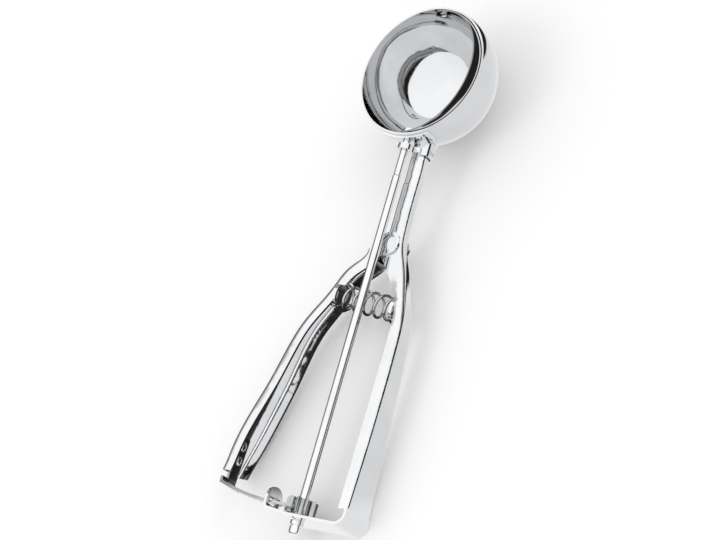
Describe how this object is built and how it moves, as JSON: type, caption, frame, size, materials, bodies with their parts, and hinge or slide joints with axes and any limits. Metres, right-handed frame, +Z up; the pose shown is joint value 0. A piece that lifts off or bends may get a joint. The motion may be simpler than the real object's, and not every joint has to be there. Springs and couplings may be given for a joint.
{
  "type": "lever ice cream scoop",
  "caption": "Squeeze-handle ice cream scoop: half-round bowl, thumb lever with a toothed arc that turns a spindle and a curved scraper blade inside the bowl.",
  "frame": {"origin": "point on the table where the bowl's underside rests, straight below the bowl's centre", "axes": "+Z up, out of the table; +Y from the handles towards the bowl; +X from the thumb lever towards the fixed handle"},
  "size_m": [0.0716, 0.2329, 0.0392],
  "materials": {
    "bowl_steel": "mirror polish, with fine polishing marks",
    "handle_steel": "bright pressed sheet steel",
    "rod_steel": "polished bar",
    "gear_steel": "cut and stamped teeth, lightly oiled",
    "spring_steel": "drawn wire",
    "rivet_steel": "headed and polished"
  },
  "bodies": {
    "frame": {"bowl": "bowl_steel", "bowl_saddle": "handle_steel", "guide_eye": "handle_steel", "neck_rivets": "rivet_steel", "frame_handle": "handle_steel", "far_pole_pin": "rivet_steel", "pivot_rivet": "rivet_steel", "pivot_spacer": "rod_steel", "pivot_washer": "rod_steel", "frame_spring_cup": "handle_steel", "return_spring": "spring_steel", "thrust_washer": "rod_steel"},
    "lever": {"lever_handle": "handle_steel", "gear_rack": "gear_steel", "rack_rivets": "rivet_steel", "lever_spring_cup": "handle_steel"},
    "spindle": {"spindle_rod": "rod_steel", "spindle_pinion": "gear_steel", "pinion_pin": "rod_steel", "spindle_end_cap": "rod_steel", "scraper_blade": "bowl_steel", "scraper_hub": "rod_steel", "scraper_drive_pin": "rod_steel"}
  },
  "joints": [
    {"name": "lever_pivot", "type": "hinge", "parent": "frame", "child": "lever", "pos_m": [0.003, -0.07502, 0.02248], "axis": [0, -0.0997, 0.995], "range_deg": [0, 8.4], "stiffness_Nm_per_rad": 1.5, "springref_deg": -5.73, "deforming": ["return_spring"]},
    {"name": "spindle_spin", "type": "hinge", "parent": "frame", "child": "spindle", "pos_m": [0, 0, 0.03], "axis": [0, 0.995, 0.0997], "range_deg": [0, 189]}
  ],
  "couplings": [
    {"joint": "spindle_spin", "follows": "lever_pivot", "ratio": 22.476}
  ]
}
